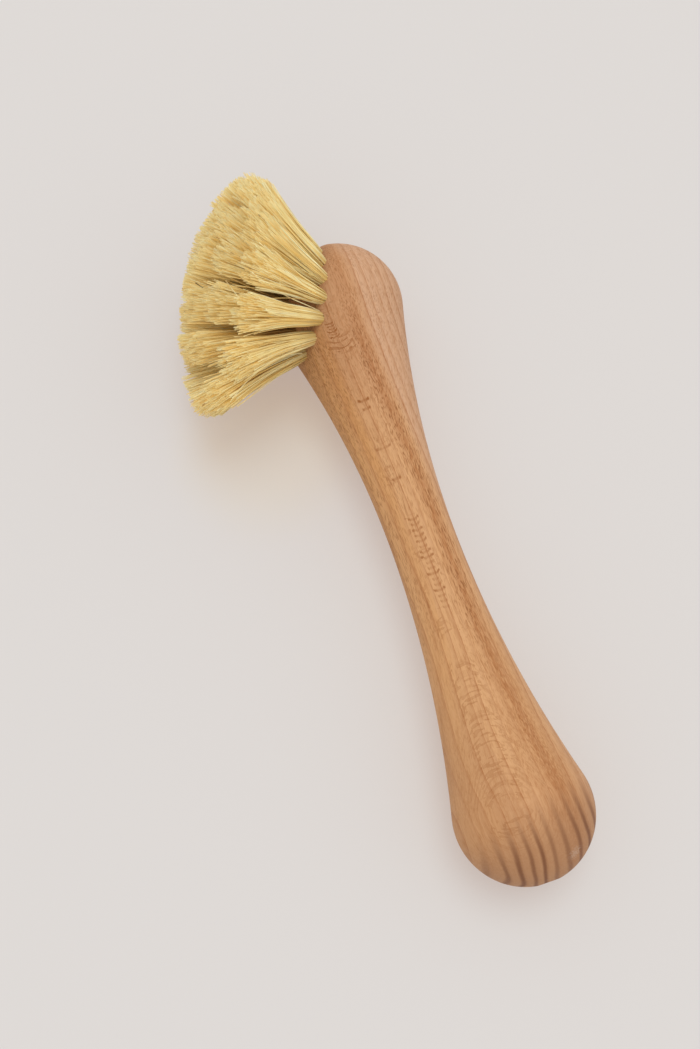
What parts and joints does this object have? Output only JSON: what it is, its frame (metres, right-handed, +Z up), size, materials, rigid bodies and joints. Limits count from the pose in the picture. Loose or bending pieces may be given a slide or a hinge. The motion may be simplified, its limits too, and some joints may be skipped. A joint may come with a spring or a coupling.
{
  "type": "dish brush",
  "caption": "Dish brush with a turned one-piece beech handle, a slim waist, a round butt and a domed head whose plant fibre tufts fan out",
  "frame": {"origin": "below the middle of the whole brush's box, on the surface it lies on", "axes": "+Z up, +Y along the handle's axis towards the head, and the bristles towards -X, up and forwards"},
  "size_m": [0.0756, 0.2426, 0.071],
  "materials": {
    "beech": "oiled, sanded smooth",
    "plant_fibre": "bare dry fibre",
    "steel_wire": "bright flat wire"
  },
  "bodies": {
    "root": {"turned_body": "beech", "outer_tuft_01": "plant_fibre", "outer_tuft_02": "plant_fibre", "outer_tuft_03": "plant_fibre", "outer_tuft_04": "plant_fibre", "outer_tuft_05": "plant_fibre", "outer_tuft_06": "plant_fibre", "outer_tuft_07": "plant_fibre", "outer_tuft_08": "plant_fibre", "outer_tuft_09": "plant_fibre", "outer_tuft_10": "plant_fibre", "outer_tuft_11": "plant_fibre", "outer_tuft_12": "plant_fibre", "outer_tuft_13": "plant_fibre", "outer_tuft_14": "plant_fibre", "outer_tuft_15": "plant_fibre", "outer_tuft_16": "plant_fibre", "middle_tuft_01": "plant_fibre", "middle_tuft_02": "plant_fibre", "middle_tuft_03": "plant_fibre", "middle_tuft_04": "plant_fibre", "middle_tuft_05": "plant_fibre", "middle_tuft_06": "plant_fibre", "middle_tuft_07": "plant_fibre", "middle_tuft_08": "plant_fibre", "middle_tuft_09": "plant_fibre", "inner_tuft_01": "plant_fibre", "inner_tuft_02": "plant_fibre", "inner_tuft_03": "plant_fibre", "outer_wire_01": "steel_wire", "outer_wire_02": "steel_wire", "outer_wire_03": "steel_wire", "outer_wire_04": "steel_wire", "outer_wire_05": "steel_wire", "outer_wire_06": "steel_wire", "outer_wire_07": "steel_wire", "outer_wire_08": "steel_wire", "outer_wire_09": "steel_wire", "outer_wire_10": "steel_wire", "outer_wire_11": "steel_wire", "outer_wire_12": "steel_wire", "outer_wire_13": "steel_wire", "outer_wire_14": "steel_wire", "outer_wire_15": "steel_wire", "outer_wire_16": "steel_wire", "middle_wire_01": "steel_wire", "middle_wire_02": "steel_wire", "middle_wire_03": "steel_wire", "middle_wire_04": "steel_wire", "middle_wire_05": "steel_wire", "middle_wire_06": "steel_wire", "middle_wire_07": "steel_wire", "middle_wire_08": "steel_wire", "middle_wire_09": "steel_wire", "inner_wire_01": "steel_wire", "inner_wire_02": "steel_wire", "inner_wire_03": "steel_wire"}
  },
  "joints": []
}
